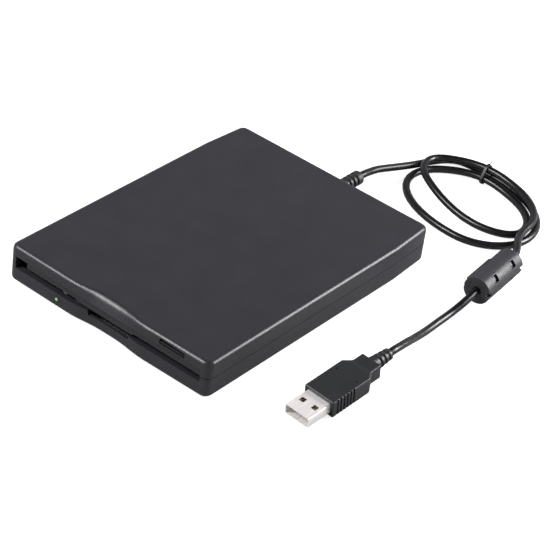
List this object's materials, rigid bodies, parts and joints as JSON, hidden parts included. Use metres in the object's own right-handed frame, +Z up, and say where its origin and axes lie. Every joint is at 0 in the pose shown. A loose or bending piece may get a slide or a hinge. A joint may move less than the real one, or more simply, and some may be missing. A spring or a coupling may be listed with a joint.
{
  "type": "external floppy disk drive",
  "caption": "Slim external floppy disk drive with a spring flap over its front slot, an eject button, rubber feet and a looped cord with a clip-on ferrite and a flat plug.",
  "frame": {"origin": "on the floor under the middle of the drive's case", "axes": "+Z up, -Y towards the front with the disk slot, +X towards the eject button's side"},
  "size_m": [0.1452, 0.2159, 0.0172],
  "materials": {
    "case_plastic": "fine matte texture",
    "rubber": "matte",
    "screw_steel": "zinc plated",
    "flap_plastic": "matte",
    "spring_steel": "drawn wire and ground rod",
    "button_plastic": "satin",
    "green_lens": "clear tinted",
    "white_plastic": "smooth",
    "sheet_steel": "zinc plated",
    "dark_plastic": "satin",
    "circuit_board": "solder mask",
    "ribbon_plastic": "laminated film",
    "brass": "turned",
    "copper_coil": "enamelled windings",
    "cast_alloy": "die cast",
    "cord_jacket": "smooth vinyl",
    "ferrite_shell": "satin",
    "ferrite_core": "sintered",
    "plug_plastic": "fine texture",
    "plug_metal": "plated",
    "contact_gold": "gold plated"
  },
  "bodies": {
    "case": {"top_cover": "case_plastic", "bottom_cover": "case_plastic", "rubber_foot_1": "rubber", "rubber_foot_2": "rubber", "rubber_foot_3": "rubber", "rubber_foot_4": "rubber", "strain_relief": "rubber", "case_screw_left": "screw_steel", "case_screw_right": "screw_steel", "flap_spring": "spring_steel", "eject_spring_left": "spring_steel", "eject_spring_right": "spring_steel", "guide_rod": "spring_steel", "led_lens": "green_lens", "led_chip": "white_plastic", "plug_tongue": "white_plastic", "chassis": "sheet_steel", "top_shield": "sheet_steel", "stepper_motor": "sheet_steel", "screw_bracket": "sheet_steel", "controller_chip": "dark_plastic", "motor_driver_chip": "dark_plastic", "density_switch": "dark_plastic", "write_protect_switch": "dark_plastic", "twist_tie": "dark_plastic", "main_pcb": "circuit_board", "interface_pcb": "circuit_board", "ffc_ribbon": "ribbon_plastic", "spindle_bearing": "brass", "stator_coils": "copper_coil", "cord_lead": "cord_jacket", "cord_loops": "cord_jacket", "cord_tail": "cord_jacket", "cord_end": "cord_jacket", "ferrite_case_lower": "ferrite_shell", "ferrite_core_lower": "ferrite_core", "plug_overmould": "plug_plastic", "plug_shell": "plug_metal", "plug_contact_1": "contact_gold", "plug_contact_2": "contact_gold", "plug_contact_3": "contact_gold", "plug_contact_4": "contact_gold"},
    "flap": {"slot_flap": "flap_plastic"},
    "eject": {"eject_plate": "sheet_steel", "eject_button": "button_plastic"},
    "holder": {"disk_holder": "sheet_steel", "shutter_spring": "spring_steel"},
    "lever": {"shutter_lever": "dark_plastic"},
    "spindle": {"spindle_rotor": "cast_alloy", "spindle_hub": "brass", "drive_pin": "spring_steel"},
    "carriage": {"head_carriage": "cast_alloy", "lower_head": "white_plastic"},
    "arm": {"head_arm": "dark_plastic", "upper_head": "white_plastic"},
    "screw": {"lead_screw": "spring_steel"},
    "write_protect": {"write_protect_plunger": "white_plastic"},
    "density": {"density_plunger": "white_plastic"},
    "ferrite_lid": {"ferrite_case_upper": "ferrite_shell", "ferrite_core_upper": "ferrite_core"}
  },
  "joints": [
    {"name": "slot_flap_hinge", "type": "hinge", "parent": "case", "child": "flap", "pos_m": [0, -0.0687, 0.01215], "axis": [1, 0, 0], "range_deg": [0, 85], "stiffness_Nm_per_rad": 0.0006, "deforming": ["flap_spring"]},
    {"name": "eject_slide", "type": "slide", "parent": "case", "child": "eject", "axis": [0, 1, 0], "range_m": [-0.0045, 0.0004], "deforming": ["eject_spring_left", "eject_spring_right"]},
    {"name": "holder_lift", "type": "slide", "parent": "case", "child": "holder", "axis": [0, 0, 1], "range_m": [-0.0022, 0.0002]},
    {"name": "shutter_lever_hinge", "type": "hinge", "parent": "holder", "child": "lever", "pos_m": [-0.03, 0.025, 0.0127], "axis": [0, 0, 1], "range_deg": [0, 35], "stiffness_Nm_per_rad": 0.0008, "deforming": ["shutter_spring"]},
    {"name": "spindle_turn", "type": "hinge", "parent": "case", "child": "spindle", "pos_m": [0, -0.014, 0.0055], "axis": [0, 0, 1], "continuous": true},
    {"name": "head_carriage_slide", "type": "slide", "parent": "case", "child": "carriage", "axis": [0, 1, 0], "range_m": [-0.0148, 0]},
    {"name": "lead_screw_turn", "type": "hinge", "parent": "case", "child": "screw", "pos_m": [0.02, 0.0272, 0.0084], "axis": [0, 1, 0], "range_deg": [-1800, 10]},
    {"name": "head_arm_hinge", "type": "hinge", "parent": "carriage", "child": "arm", "pos_m": [0, 0.05, 0.0112], "axis": [1, 0, 0], "range_deg": [-0.9, 9.2]},
    {"name": "write_protect_press", "type": "slide", "parent": "case", "child": "write_protect", "axis": [0, 0, 1], "range_m": [-0.0008, 0], "stiffness_N_per_m": 60},
    {"name": "density_press", "type": "slide", "parent": "case", "child": "density", "axis": [0, 0, 1], "range_m": [-0.0008, 0], "stiffness_N_per_m": 60},
    {"name": "ferrite_hinge", "type": "hinge", "parent": "case", "child": "ferrite_lid", "pos_m": [0.07514, 0.07479, 0.006], "axis": [0.1028, -0.9947, 0], "range_deg": [0, 110]}
  ],
  "couplings": [
    {"joint": "holder_lift", "follows": "eject_slide", "ratio": 0.4889},
    {"joint": "head_arm_hinge", "follows": "eject_slide", "rad_per_m": -35.5},
    {"joint": "lead_screw_turn", "follows": "head_carriage_slide", "rad_per_m": 2094.4}
  ]
}
